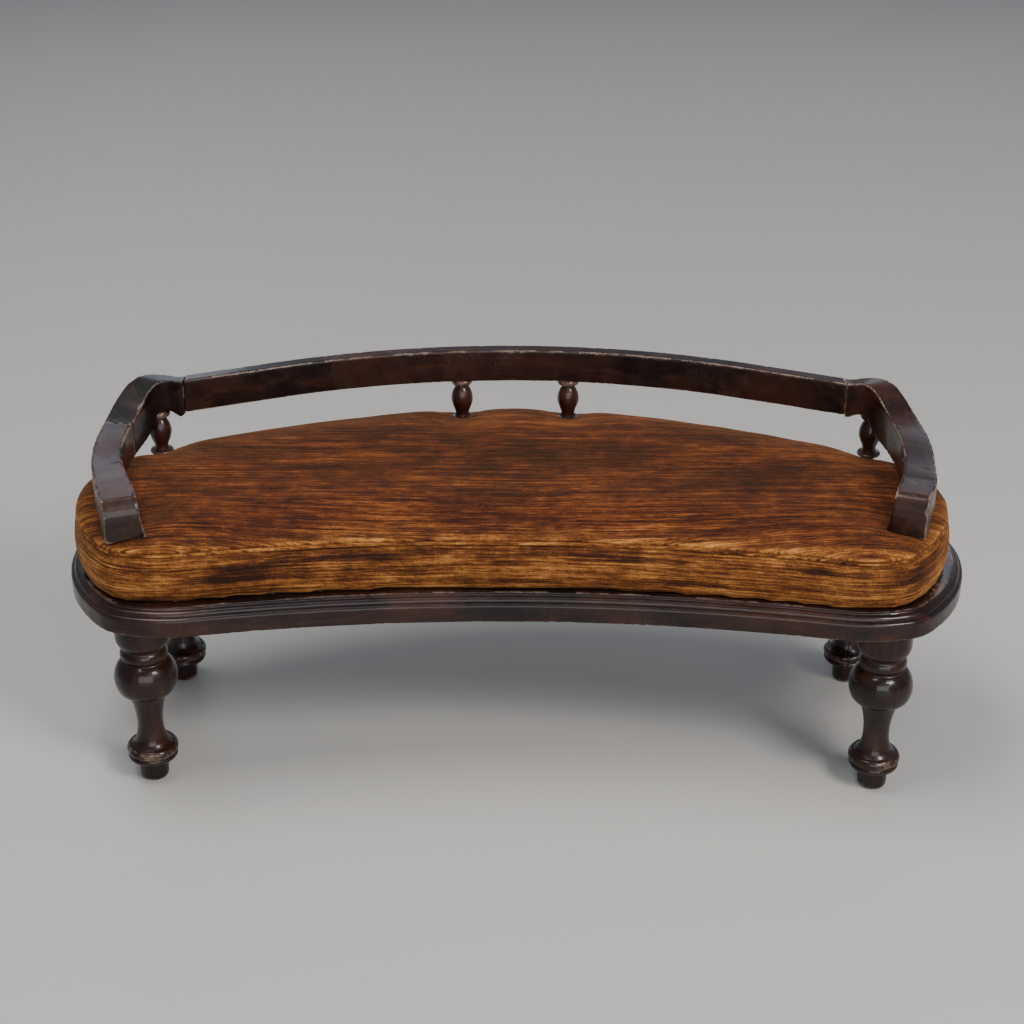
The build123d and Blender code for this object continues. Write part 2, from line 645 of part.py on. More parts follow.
with BuildPart() as seam_piping:
    add(Pos(SEAT_SHIFT_X, 0, 0) * piping_ring.part)
    with BuildSketch(Plane.XY.offset(FRAME_TOP)):
        with Locations(*SPINDLE_PLACES.values()):
            Circle(SPINDLE_STEM_R + PIPING_R)
    extrude(amount=PASSAGE_TOP - FRAME_TOP, mode=Mode.SUBTRACT)

finish(webbing_long, "webbing_long")
finish(webbing_cross, "webbing_cross")
finish(webbing_tacks, "webbing_tacks")
finish(cover_tacks, "cover_tacks")
finish(hessian, "hessian")
finish(stuffing, "stuffing")
finish(velvet_border, "velvet_border")
finish(velvet_top, "velvet_top")
finish(seam_piping, "piping")
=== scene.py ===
"""Looks of the kneeling bench: worn dark wood, a velvet seat pad, webbing and hessian below.

Metres, +Z up, the hollow front looks along -Y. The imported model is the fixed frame.
"""

import math

import bmesh
import bpy
import numpy as np
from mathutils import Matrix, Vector, noise
from mathutils.bvhtree import BVHTree


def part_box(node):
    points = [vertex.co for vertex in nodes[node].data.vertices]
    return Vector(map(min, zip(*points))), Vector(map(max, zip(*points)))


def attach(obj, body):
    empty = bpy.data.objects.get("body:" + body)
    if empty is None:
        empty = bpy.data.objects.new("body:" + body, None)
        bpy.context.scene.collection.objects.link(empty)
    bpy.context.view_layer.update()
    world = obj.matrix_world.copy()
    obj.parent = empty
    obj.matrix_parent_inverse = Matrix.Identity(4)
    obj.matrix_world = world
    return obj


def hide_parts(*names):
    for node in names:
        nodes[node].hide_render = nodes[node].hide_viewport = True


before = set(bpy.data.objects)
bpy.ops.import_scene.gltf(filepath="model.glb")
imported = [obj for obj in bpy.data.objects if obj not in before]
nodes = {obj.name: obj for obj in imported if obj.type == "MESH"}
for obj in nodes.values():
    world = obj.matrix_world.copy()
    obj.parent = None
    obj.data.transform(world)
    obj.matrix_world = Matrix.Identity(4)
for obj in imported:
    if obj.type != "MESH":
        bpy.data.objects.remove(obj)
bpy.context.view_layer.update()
MM = 0.001

# ---------------------------------------------------------------- camera
camera_data = bpy.data.cameras.new("camera")
camera_data.sensor_width = 36.0
camera_data.lens = 70.31
camera = bpy.data.objects.new("camera", camera_data)
camera.location = (0.0149, -1.6929, 1.065)
camera.rotation_euler = (math.radians(63.16), 0.0, math.radians(0.65))
bpy.context.scene.collection.objects.link(camera)
bpy.context.scene.camera = camera

# ---------------------------------------------------------------- sizes, millimetres
FRAME_BOTTOM = 168.0
FRAME_TOP = 193.5
RAIL_WIDTH = 62.0
JOINT_X = 292.0
JOINT_GAP = 0.12
FRONT_APEX_Y = -138.77
# arcs of the right half from the middle of the front: radius and turn in degrees; the last,
# round to the middle of the back, is worked out
OUTLINE = ((1400.0, -11.7), (140.0, 26.0), (48.0, 33.0), (165.0, 42.7), (118.0, 55.0))
SEAM_Z = 239.0
SEAT_INSET = 12.0
SEAT_SHIFT_X = -4.5
SEAT_TURN = math.radians(-0.45)


# ---------------------------------------------------------------- mesh helpers
def add_object(name, mesh, body="root"):
    made = bpy.data.objects.new(name, mesh)
    bpy.context.scene.collection.objects.link(made)
    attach(made, body)
    return made


def mesh_from(name, points, faces):
    """Mesh from points in millimetres."""
    mesh = bpy.data.meshes.new(name)
    mesh.from_pydata([(x * MM, y * MM, z * MM) for x, y, z in points], [], faces)
    mesh.update()
    return mesh


def joined_rings(rings, closed_way=False):
    """Points and quads of a skin over closed rings of equal length; ends capped by one face."""
    count = len(rings[0])
    points = [tuple(p) for ring in rings for p in ring]
    faces = []
    steps = len(rings) if closed_way else len(rings) - 1
    for i in range(steps):
        a = i * count
        b = ((i + 1) % len(rings)) * count
        for j in range(count):
            k = (j + 1) % count
            faces.append((a + j, a + k, b + k, b + j))
    if not closed_way:
        faces.append(tuple(range(count - 1, -1, -1)))
        faces.append(tuple(range((len(rings) - 1) * count, len(rings) * count)))
    return points, faces


def fix_normals(mesh):
    work = bmesh.new()
    work.from_mesh(mesh)
    bmesh.ops.recalc_face_normals(work, faces=work.faces)
    work.to_mesh(mesh)
    work.free()


def shade(obj, material, angle):
    obj.data.materials.clear()
    obj.data.materials.append(material)
    obj.data.polygons.foreach_set("use_smooth", [True] * len(obj.data.polygons))
    obj.data.set_sharp_from_angle(angle=math.radians(angle))


def vertex_array(mesh):
    co = np.empty(len(mesh.vertices) * 3)
    mesh.vertices.foreach_get("co", co)
    return co.reshape(-1, 3)


def normal_array(mesh):
    values = np.empty(len(mesh.vertices) * 3, np.float32)
    mesh.vertex_normals.foreach_get("vector", values)
    return values.reshape(-1, 3).astype(float)


def set_vertices(mesh, co):
    mesh.vertices.foreach_set("co", np.ascontiguousarray(co, np.float32).ravel())
    mesh.update()


def set_attribute(mesh, name, values):
    layer = mesh.attributes.get(name) or mesh.attributes.new(name, "FLOAT", "POINT")
    layer.data.foreach_set("value", np.ascontiguousarray(values, np.float32))


def edge_array(mesh):
    edges = np.empty(len(mesh.edges) * 2, np.int64)
    mesh.edges.foreach_get("vertices", edges)
    return edges.reshape(-1, 2)


def noise_field(co, scale, seed=0.0):
    """Smooth noise from -1 to 1 at each point; scale is in waves per metre, one or per axis."""
    shift = Vector((seed * 7.31, seed * 3.17, seed * 5.71))
    scales = Vector(scale) if hasattr(scale, "__len__") else Vector((scale, scale, scale))
    return np.array([noise.noise(Vector([p[i] * scales[i] for i in range(3)]) + shift)
                     for p in co])


def convexity(mesh, rounds=2):
    """How far each point stands out from its neighbours, in millimetres, slightly blurred."""
    co = vertex_array(mesh)
    normals = normal_array(mesh)
    edges = edge_array(mesh)
    count = np.zeros(len(co))
    np.add.at(count, edges.ravel(), 1)
    mean = np.zeros_like(co)
    np.add.at(mean, edges[:, 0], co[edges[:, 1]])
    np.add.at(mean, edges[:, 1], co[edges[:, 0]])
    out = ((co - mean / count[:, None]) * normals).sum(1) / MM
    for _ in range(rounds):
        total = np.zeros(len(co))
        np.add.at(total, edges[:, 0], out[edges[:, 1]])
        np.add.at(total, edges[:, 1], out[edges[:, 0]])
        out = (out + total / count) / 2
    return out


def weather(mesh, seed, chip, dent, edge_at, spared=0.0):
    """Knocks back standing edges unevenly, adds shallow dents, and stores wear and hollow masks.

    spared is the share of the wear that each point is kept from, as at a closed joint.
    """
    out = convexity(mesh)
    co = vertex_array(mesh)
    normals = normal_array(mesh)
    edge = np.clip((out - edge_at * 0.3) / edge_at, 0, 1) * (1.0 - spared)
    coarse = noise_field(co, 38, seed)
    fine = noise_field(co, 210, seed + 1)
    knocked = np.clip((coarse * 0.6 + fine * 0.7 - 0.12) * 2.2, 0, 1) * edge
    dents = np.clip(noise_field(co, 95, seed + 2) - 0.42, 0, 1) * 2
    swell = noise_field(co, 16, seed + 3)
    depth = (chip * knocked + dent * dents + 0.12 * swell) * MM
    set_vertices(mesh, co - normals * depth[:, None])
    worn = edge * (0.35 + 0.65 * (coarse > -0.2)) + 0.3 * knocked
    set_attribute(mesh, "wear", np.clip(worn, 0, 1))
    set_attribute(mesh, "hollow", np.clip(-out / 0.08, 0, 1))


def applied(obj):
    """Replaces the object's mesh by what its modifiers make of it."""
    depsgraph = bpy.context.evaluated_depsgraph_get()
    mesh = bpy.data.meshes.new_from_object(obj.evaluated_get(depsgraph))
    obj.modifiers.clear()
    obj.data = mesh


def plan_centre(name):
    """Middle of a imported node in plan, in millimetres."""
    low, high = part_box(name)
    return (low.x + high.x) / 2 / MM, (low.y + high.y) / 2 / MM


# ---------------------------------------------------------------- profiles
def arc_through(a, b, c, steps):
    """Points of the arc from a to c that passes through b, a left out."""
    (ax, ay), (bx, by), (cx, cy) = a, b, c
    d = 2 * (ax * (by - cy) + bx * (cy - ay) + cx * (ay - by))
    ux = ((ax * ax + ay * ay) * (by - cy) + (bx * bx + by * by) * (cy - ay)
          + (cx * cx + cy * cy) * (ay - by)) / d
    uy = ((ax * ax + ay * ay) * (cx - bx) + (bx * bx + by * by) * (ax - cx)
          + (cx * cx + cy * cy) * (bx - ax)) / d
    radius = math.hypot(ax - ux, ay - uy)
    start = math.atan2(ay - uy, ax - ux)
    middle = math.atan2(by - uy, bx - ux)
    end = math.atan2(cy - uy, cx - ux)
    full = 2 * math.pi
    turn = (end - start) % full
    if (middle - start) % full > turn:
        turn -= full
    return [(ux + radius * math.cos(start + turn * i / steps),
             uy + radius * math.sin(start + turn * i / steps)) for i in range(1, steps + 1)]


def curve_through(points, steps):
    """Smooth line through the points (Catmull-Rom), the first left out."""
    padded = [points[0]] + list(points) + [points[-1]]
    made = []
    for i in range(1, len(padded) - 2):
        p0, p1, p2, p3 = (np.array(p, float) for p in padded[i - 1:i + 3])
        for step in range(1, steps + 1):
            t = step / steps
            made.append(tuple(0.5 * (2 * p1 + (p2 - p0) * t
                                     + (2 * p0 - 5 * p1 + 4 * p2 - p3) * t * t
                                     + (3 * p1 - p0 - 3 * p2 + p3) * t ** 3)))
    return made


def straight(a, b, length=1.5):
    """Points from a to b at about this spacing, a left out."""
    steps = max(1, round(math.dist(a, b) / length))
    return [(a[0] + (b[0] - a[0]) * i / steps, a[1] + (b[1] - a[1]) * i / steps)
            for i in range(1, steps + 1)]


def lathe(profile, centre, segments, wobble, seed):
    """Turned mesh about a vertical axis; profile is (radius, height) from the axis to the axis."""
    rings = []
    for radius, height in profile[1:-1]:
        ring = []
        for i in range(segments):
            angle = 2 * math.pi * i / segments
            uneven = wobble * noise.noise(Vector((math.cos(angle) * 1.3, math.sin(angle) * 1.3,
                                                  height * 0.05 + seed)))
            reach = radius + uneven * min(1.0, radius / 8)
            ring.append((centre[0] + reach * math.cos(angle), centre[1] + reach * math.sin(angle),
                         height))
        rings.append(ring)
    return joined_rings(rings)


# ---------------------------------------------------------------- shader helpers
def node(tree, kind, inputs=None, **settings):
    made = tree.nodes.new(kind)
    for name, value in settings.items():
        setattr(made, name, value)
    for name, value in (inputs or {}).items():
        socket = made.inputs[name]
        if isinstance(value, bpy.types.NodeSocket):
            tree.links.new(value, socket)
        else:
            socket.default_value = value
    return made


def ramp(tree, factor, stops):
    made = node(tree, "ShaderNodeValToRGB", {"Fac": factor})
    while len(made.color_ramp.elements) < len(stops):
        made.color_ramp.elements.new(0.5)
    for element, (place, value) in zip(made.color_ramp.elements, stops):
        element.position = place
        level = value if hasattr(value, "__len__") else (value, value, value)
        element.color = (*level[:3], 1.0)
    return made.outputs["Color"]


def maths(tree, operation, a, b=0.0, clamp=False):
    made = node(tree, "ShaderNodeMath", {0: a, 1: b}, operation=operation)
    made.use_clamp = clamp
    return made.outputs[0]


def plus(tree, level, part, share, clamp=False):
    """The level with a share of the part added."""
    return maths(tree, "ADD", level, maths(tree, "MULTIPLY", part, share), clamp)


def mixed(tree, factor, a, b, blend="MIX"):
    made = tree.nodes.new("ShaderNodeMix")
    made.data_type = "RGBA"
    made.blend_type = blend
    for index, value in ((0, factor), (6, a), (7, b)):
        if isinstance(value, bpy.types.NodeSocket):
            tree.links.new(value, made.inputs[index])
        elif index == 0:
            made.inputs[0].default_value = value
        else:
            made.inputs[index].default_value = (*value[:3], 1.0)
    return made.outputs[2]


def stretched(tree, vector, scale, seed=0.0):
    return node(tree, "ShaderNodeMapping",
                {"Vector": vector, "Scale": scale, "Location": (seed, seed * 0.7, seed * 1.3)}
                ).outputs["Vector"]


def noise_node(tree, vector, scale, detail, roughness, distortion=0.0):
    return node(tree, "ShaderNodeTexNoise",
                {"Vector": vector, "Scale": scale, "Detail": detail, "Roughness": roughness,
                 "Distortion": distortion}).outputs["Fac"]


def attribute(tree, name):
    return node(tree, "ShaderNodeAttribute", attribute_name=name).outputs["Fac"]


def new_material(name):
    material = bpy.data.materials.new(name)
    material.use_nodes = True
    tree = material.node_tree
    shader = tree.nodes["Principled BSDF"]
    place = node(tree, "ShaderNodeTexCoord").outputs["Object"]
    return material, tree, shader, place


def set_inputs(shader, values):
    for name, value in values.items():
        shader.inputs[name].default_value = value


def set_bump(tree, shader, height, strength, distance):
    bump = node(tree, "ShaderNodeBump",
                {"Height": height, "Strength": strength, "Distance": distance})
    tree.links.new(bump.outputs["Normal"], shader.inputs["Normal"])


# ---------------------------------------------------------------- wood
STAIN_STOPS = ((0.32, (0.0030, 0.0018, 0.0018)), (0.50, (0.0085, 0.0038, 0.0030)),
               (0.70, (0.030, 0.0105, 0.0060)))
WARM_BROWN = (0.062, 0.0185, 0.0085)
PORE_BLACK = (0.006, 0.004, 0.004)
RUBBED_BARE = (0.19, 0.125, 0.090)
DUST_GREY = (0.040, 0.030, 0.025)
SCRATCHED = (0.20, 0.15, 0.12)
HAIRLINE = ((0.495, 0.0), (0.503, 1.0), (0.511, 0.0))


def dark_wood(name, grain, seed, red, bands=0.0, gloss=0.32):
    """Near-black stained hardwood under old shellac; grain is the scale of the figure per axis."""
    material, tree, shader, place = new_material(name)
    along = stretched(tree, place, grain, seed)
    figure = noise_node(tree, along, 1.0, 6.0, 0.62, 0.6)
    fine_axes = tuple(g * 5.5 for g in grain)
    pores = noise_node(tree, stretched(tree, place, fine_axes, seed + 3), 1.0, 3.0, 0.7)
    cloud = noise_node(tree, place, 14.0, 4.0, 0.6)
    stain = ramp(tree, figure, STAIN_STOPS)
    warm = ramp(tree, cloud, ((0.42, 0.0), (0.70, red)))
    colour = mixed(tree, warm, stain, WARM_BROWN)
    pore_mask = ramp(tree, pores, ((0.30, 1.0), (0.42, 0.0)))
    colour = mixed(tree, maths(tree, "MULTIPLY", pore_mask, 0.5), colour, PORE_BLACK)

    worn = attribute(tree, "wear")
    breakup = noise_node(tree, place, 420.0, 5.0, 0.7)
    drag = noise_node(tree, place, 70.0, 3.0, 0.6)
    rub = maths(tree, "ADD", maths(tree, "MULTIPLY", worn, 0.75),
                maths(tree, "MULTIPLY", maths(tree, "SUBTRACT", breakup, 0.5), 0.9))
    rub = plus(tree, rub, maths(tree, "SUBTRACT", drag, 0.5), 0.8)
    rubbed = ramp(tree, rub, ((0.58, 0.0), (0.84, 0.70)))
    rubbed = maths(tree, "MULTIPLY", rubbed, ramp(tree, worn, ((0.20, 0.0), (0.62, 1.0))))
    colour = mixed(tree, rubbed, colour, RUBBED_BARE)

    dust = maths(tree, "MULTIPLY", attribute(tree, "hollow"),
                 ramp(tree, cloud, ((0.35, 0.15), (0.65, 0.75))))
    colour = mixed(tree, maths(tree, "MULTIPLY", dust, 0.22), colour, DUST_GREY)

    # fine scratches: thin bands where a stretched noise crosses its middle
    along_x = stretched(tree, place, (60.0, 900.0, 420.0), seed + 5)
    scratch_a = noise_node(tree, along_x, 1.0, 1.0, 0.5)
    along_y = stretched(tree, place, (700.0, 90.0, 300.0), seed + 9)
    scratch_b = noise_node(tree, along_y, 1.0, 1.0, 0.5)
    where = ramp(tree, noise_node(tree, place, 26.0, 2.0, 0.5), ((0.52, 0.0), (0.64, 1.0)))
    lines = maths(tree, "MAXIMUM", ramp(tree, scratch_a, HAIRLINE),
                  ramp(tree, scratch_b, HAIRLINE))
    scratches = maths(tree, "MULTIPLY", lines, where)
    colour = mixed(tree, maths(tree, "MULTIPLY", scratches, 0.30), colour, SCRATCHED)

    tree.links.new(colour, shader.inputs["Base Color"])
    dull = noise_node(tree, place, 55.0, 5.0, 0.65)
    rough = ramp(tree, dull, ((0.30, gloss - 0.07), (0.72, gloss + 0.16)))
    rough = plus(tree, rough, dust, 0.30)
    rough = plus(tree, rough, rubbed, 0.12, clamp=True)
    tree.links.new(rough, shader.inputs["Roughness"])
    set_inputs(shader, {"IOR": 1.45, "Specular IOR Level": 0.20, "Coat Weight": 0.42,
                        "Coat IOR": 1.42})
    tree.links.new(maths(tree, "ADD", maths(tree, "MULTIPLY", rough, 0.42), -0.03, clamp=True),
                   shader.inputs["Coat Roughness"])

    height = maths(tree, "MULTIPLY", pore_mask, -0.5)
    for part, share in ((figure, 0.5), (scratches, -0.5), (breakup, 0.35)):
        height = plus(tree, height, part, share)
    if bands:
        rings = node(tree, "ShaderNodeTexWave",
                     {"Vector": place, "Scale": bands, "Distortion": 0.6},
                     bands_direction="Z").outputs["Fac"]
        height = plus(tree, height, rings, 0.35)
    set_bump(tree, shader, height, 0.22, 0.0006)
    return material


long_grain = (4.0, 90.0, 70.0)
frame_wood = dark_wood("frame_wood", long_grain, 1.0, red=0.45)
leg_wood = dark_wood("leg_wood", (75.0, 75.0, 5.0), 3.0, red=0.35, bands=260.0, gloss=0.26)
rail_wood = dark_wood("rail_wood", long_grain, 4.0, red=0.35, gloss=0.30)
arm_wood = dark_wood("arm_wood", (50.0, 7.0, 50.0), 5.0, red=0.80, gloss=0.34)
corner_wood = dark_wood("corner_wood", (40.0, 9.0, 50.0), 6.0, red=0.15, gloss=0.38)
spindle_wood = dark_wood("spindle_wood", (75.0, 75.0, 8.0), 7.0, red=0.8, bands=420.0, gloss=0.26)


# ---------------------------------------------------------------- frame outline
def half_outline(step=2.5):
    """Right half of the plan outline, front to back: rows of x, y and heading."""
    x, y, heading = 0.0, FRONT_APEX_Y, 0.0
    rows = [(x, y, heading)]

    def walk(radius, turn):
        nonlocal x, y, heading
        side = 1 if turn > 0 else -1
        cx = x - side * radius * math.sin(heading)
        cy = y + side * radius * math.cos(heading)
        steps = max(2, round(abs(turn) * radius / step))
        for i in range(1, steps + 1):
            h = heading + turn * i / steps
            rows.append((cx + side * radius * math.sin(h), cy - side * radius * math.cos(h), h))
        x, y, heading = rows[-1]

    for radius, degrees in OUTLINE:
        walk(radius, math.radians(degrees))
    back_turn = math.pi - heading
    walk(x / math.sin(back_turn), back_turn)
    return np.array(rows)


def closed_outline():
    """Whole plan outline, counter-clockwise from the middle of the front."""
    right = half_outline()
    left = right[-2:0:-1].copy()
    left[:, 0] *= -1
    left[:, 2] = 2 * math.pi - left[:, 2]
    return np.vstack([right, left])


outline = closed_outline()
inward = np.stack([-np.sin(outline[:, 2]), np.cos(outline[:, 2])], 1)


def inset_line(inset):
    return outline[:, :2] + inward * inset


def edge_y(x, inset, back):
    """Y of the inset outline at x, on the front or on the back."""
    line = inset_line(inset)
    rows = line[(np.abs(line[:, 0]) < 345) & ((line[:, 1] > 20) == back)]
    rows = rows[np.argsort(rows[:, 0])]
    return float(np.interp(x, rows[:, 0], rows[:, 1]))


def board_edge():
    """Moulded edge of the frame: (inset, height) from the underside to the shelf."""
    made = [(1.0, FRAME_BOTTOM), (0.3, FRAME_BOTTOM + 0.25), (0.0, FRAME_BOTTOM + 1.0)]
    made += straight(made[-1], (0.0, 182.3), 1.3)
    made += arc_through(made[-1], (0.9, 184.7), (3.0, 185.8), 6)
    made += straight(made[-1], (3.6, 185.8))
    made += arc_through(made[-1], (4.6, 189.2), (7.6, 190.6), 7)
    made += arc_through(made[-1], (7.7, 191.9), (8.8, 192.3), 4)
    made += [(8.8, 192.9), (9.0, 193.3), (9.5, FRAME_TOP)]
    return made


EDGE = board_edge()


def board_ring(edge_point, inner, rows=9):
    """Closed ring of one section: moulded edge, shelf to the inner point, and back underneath."""
    ring = [(*edge_point(inset), height) for inset, height in EDGE]
    outer_top = np.array(ring[-1][:2])
    outer_low = np.array(ring[0][:2])
    inner = np.array(inner)
    for i in range(1, rows + 1):
        t = i / (rows + 1)
        ring.append((*(outer_top * (1 - t) + inner * t), FRAME_TOP))
    for height in (FRAME_TOP - 0.2, FRAME_TOP - 1.2, 181.0, FRAME_BOTTOM + 1.2, FRAME_BOTTOM + 0.2):
        soft = 0.0 if FRAME_BOTTOM + 1 < height < FRAME_TOP - 1 else 0.5
        toward = (outer_top - inner) / max(1e-6, np.linalg.norm(outer_top - inner))
        ring.append((*(inner + toward * soft), height))
    for i in range(rows, 0, -1):
        t = i / (rows + 1)
        ring.append((*(outer_low * (1 - t) + inner * t), FRAME_BOTTOM))
    return ring


def long_rail(name, back):
    rings = []
    for x in np.linspace(-JOINT_X + JOINT_GAP, JOINT_X - JOINT_GAP, 230):
        rings.append(board_ring(lambda inset: (x, edge_y(x, inset, back)),
                                (x, edge_y(x, RAIL_WIDTH, back))))
    finish_board(name, rings)


INNER_INSET = 16
SQUARED_LENGTH = 25.0


def end_board(name, side):
    """D-shaped board outside the joint; its inner edge is the straight joint line."""
    line = outline[(outline[:, 0] * side > JOINT_X)]
    if side < 0:
        line = line[::-1]
    front = (side * JOINT_X, edge_y(side * JOINT_X, 0, False))
    back = (side * JOINT_X, edge_y(side * JOINT_X, 0, True))
    places = [(*front, None)] + [tuple(row) for row in line] + [(*back, None)]
    walked = np.concatenate([[0], np.cumsum([math.dist(a[:2], b[:2])
                                             for a, b in zip(places, places[1:])])])
    total = walked[-1]
    rings = []
    for (x, y, heading), s in zip(places, walked):
        square = max(0.0, 1 - min(s, total - s) / SQUARED_LENGTH)
        straight_in = 1.0 if s < total / 2 else -1.0
        if heading is None:
            heading = line[0][2] if s == 0 else line[-1][2]
        nx, ny = -math.sin(heading), math.cos(heading)
        slope = abs(1 / ny) if abs(ny) > 0.3 else 1.0

        def edge_point(inset, x=x, y=y, nx=nx, ny=ny, square=square, up=straight_in * slope):
            return (x + inset * nx * (1 - square), y + inset * (ny * (1 - square) + up * square))

        t = s / total
        inner_y = front[1] + INNER_INSET + (back[1] - front[1] - 2 * INNER_INSET) * t
        rings.append(board_ring(edge_point, (side * JOINT_X, inner_y)))
    finish_board(name, rings)


def finish_board(name, rings):
    points, faces = joined_rings(rings)
    mesh = mesh_from(name, points, faces)
    fix_normals(mesh)
    made = add_object(name + "_wood", mesh)
    joint_gap = np.abs(np.abs(vertex_array(mesh)[:, 0]) / MM - JOINT_X)
    weather(mesh, len(name) * 1.7, chip=0.55, dent=0.10, edge_at=0.10,
            spared=0.85 * np.clip(1.5 - joint_gap / 5.0, 0.0, 1.0))
    shade(made, frame_wood, 40)
    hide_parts(name)


long_rail("front_rail", False)
long_rail("back_rail", True)
end_board("left_end_board", -1)
end_board("right_end_board", 1)


# ---------------------------------------------------------------- legs and spindles
def leg_profile():
    made = [(0.0, 168.0), (24.2, 168.0)]
    made += [(24.7, 167.4), (24.8, 166.5)]
    made += straight(made[-1], (24.8, 152.0), 2.5)
    made += arc_through(made[-1], (23.2, 145.0), (19.4, 140.2), 8)
    made += [(19.2, 139.4), (19.4, 138.6)]
    made += arc_through(made[-1], (21.7, 134.0), (20.4, 128.4), 9)
    made += [(19.7, 127.4), (19.8, 126.6)]
    made += curve_through([(19.8, 126.6), (24.2, 122.9), (27.6, 116.5), (28.9, 108.0), (27.4, 99.0),
                           (24.0, 93.6), (19.6, 91.0)], 5)
    made += [(17.9, 90.5), (17.4, 89.8)]
    made += curve_through([(17.4, 89.8), (14.6, 80.0), (12.4, 68.0), (11.9, 60.0), (12.2, 52.0),
                           (13.6, 45.0), (15.6, 40.0), (18.6, 36.8)], 5)
    made += arc_through(made[-1], (23.7, 32.2), (22.6, 28.2), 9)
    made += arc_through(made[-1], (21.6, 27.6), (22.0, 26.8), 4)
    made += arc_through(made[-1], (22.9, 24.4), (21.2, 21.8), 7)
    made += [(17.8, 20.6), (14.4, 19.2), (13.7, 18.2), (13.6, 17.5)]
    made += straight(made[-1], (13.2, 4.5), 2.0)
    made += [(12.9, 2.2), (12.0, 0.7), (10.8, 0.0), (0.0, 0.0)]
    return made


def spindle_profile():
    made = [(0.0, 193.6), (5.5, 193.6), (5.5, 244.0), (9.6, 244.0)]
    made += arc_through((9.6, 244.0), (11.2, 245.6), (10.2, 247.4), 6)
    made += [(8.6, 248.0), (7.0, 248.4)]
    made += curve_through([(7.0, 248.4), (6.4, 251.5), (7.4, 255.0), (9.2, 259.5), (10.5, 264.0),
                           (10.7, 267.5), (10.0, 272.0), (8.2, 276.5), (6.4, 279.5)], 4)
    made += [(6.4, 281.2)]
    made += arc_through((6.4, 281.2), (10.5, 284.6), (9.4, 287.6), 7)
    made += [(0.0, 287.6)]
    return made


LEGS = ("front_left_leg", "front_right_leg", "back_left_leg", "back_right_leg")
SPINDLES = ("spindle_middle_left", "spindle_middle_right", "spindle_end_left",
            "spindle_end_right")
TURNING_WOBBLE = 0.25


def turned_piece(name, profile, material, segments, chip, seed):
    points, faces = lathe(profile, plan_centre(name), segments, TURNING_WOBBLE, seed)
    mesh = mesh_from(name, points, faces)
    fix_normals(mesh)
    made = add_object(name + "_turned", mesh)
    weather(mesh, seed, chip=chip, dent=0.18, edge_at=0.09)
    co = vertex_array(mesh)
    co[:, 2] = np.maximum(co[:, 2], 0.0)
    set_vertices(mesh, co)
    shade(made, material, 50)
    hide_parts(name)


for number, name in enumerate(LEGS):
    turned_piece(name, leg_profile(), leg_wood, 120, 0.8, 3.0 + number)
for number, name in enumerate(SPINDLES):
    turned_piece(name, spindle_profile(), spindle_wood, 64, 0.4, 13.0 + number)


# ---------------------------------------------------------------- arms and gallery rail
# feet of the arms, by side: 1 is the right
FOOT_CENTRE = {1: (351.5, -111.5), -1: (-349.0, -127.5)}
FOOT_HALF = {1: 15.5, -1: 16.0}
FOOT_TURN = math.radians(20.0)
FOOT_SPREAD = 5.0
FOOT_SPREAD_TOP = 278.0
FOOT_TAPER = 0.42
VELVET_AT_FOOT = 250.0


def foot_plan(side):
    """Centre in millimetres, and outward and forward directions, of an arm foot."""
    outward = np.array([side * math.cos(FOOT_TURN), -math.sin(FOOT_TURN)])
    forward = np.array([-side * math.sin(FOOT_TURN), -math.cos(FOOT_TURN)])
    return np.array(FOOT_CENTRE[side]), outward, forward


def splay_foot(mesh):
    """Spreads the foot of an arm towards the seat, and tapers it where the velvet hides it."""
    co = vertex_array(mesh) / MM
    side = 1 if co[:, 0].mean() > 0 else -1
    centre, outward, forward = foot_plan(side)
    offset = co[:, :2] - centre
    inner = np.clip(-(offset @ outward) / FOOT_HALF[side], 0.0, 1.2)
    low = np.clip((FOOT_SPREAD_TOP - co[:, 2]) / 30.0, 0.0, 1.2)
    near = np.clip(1.5 - np.abs(offset @ forward) / 60.0, 0.0, 1.0)
    co[:, :2] -= outward * (FOOT_SPREAD * inner * low ** 1.6 * near)[:, None]
    taper = FOOT_TAPER * np.clip((VELVET_AT_FOOT - co[:, 2]) / 7.0, 0.0, 1.0)
    co[:, :2] -= (co[:, :2] - centre) * taper[:, None]
    set_vertices(mesh, co * MM)


ARM_VOXEL = 1.1


def softened_copy(name, new_name, smoothing, material, seed, chip):
    """Fine even mesh over a CAD piece with its arrises eased by hand wear."""
    mesh = nodes[name].data.copy()
    mesh.name = new_name
    made = add_object(new_name, mesh)
    remesh = made.modifiers.new("even", "REMESH")
    remesh.mode = "VOXEL"
    remesh.voxel_size = ARM_VOXEL * MM
    smooth = made.modifiers.new("ease", "SMOOTH")
    smooth.factor = 0.5
    smooth.iterations = smoothing
    applied(made)
    splay_foot(made.data)
    weather(made.data, seed, chip=chip, dent=0.14, edge_at=0.05)
    shade(made, material, 60)
    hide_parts(name)


softened_copy("gallery_rail", "gallery_rail_wood", 3, rail_wood, 21.0, 0.4)
softened_copy("right_arm", "right_arm_wood", 2, arm_wood, 22.0, 0.5)
softened_copy("left_arm", "left_arm_wood", 2, arm_wood, 23.0, 0.5)
softened_copy("left_arm_corner", "left_arm_corner_wood", 2, corner_wood, 24.0, 0.5)


# ---------------------------------------------------------------- seat pad
PAD_CROWN = 13.0
PAD_VOXEL = 5.4
HEM_Z = 198.0
SPINDLE_RADIUS = 10.0
DRAW_REACH = 11.0
PUFF_CAP = 6.0
PUFF_EASING = 14
CLOTH_FRAMES = 20


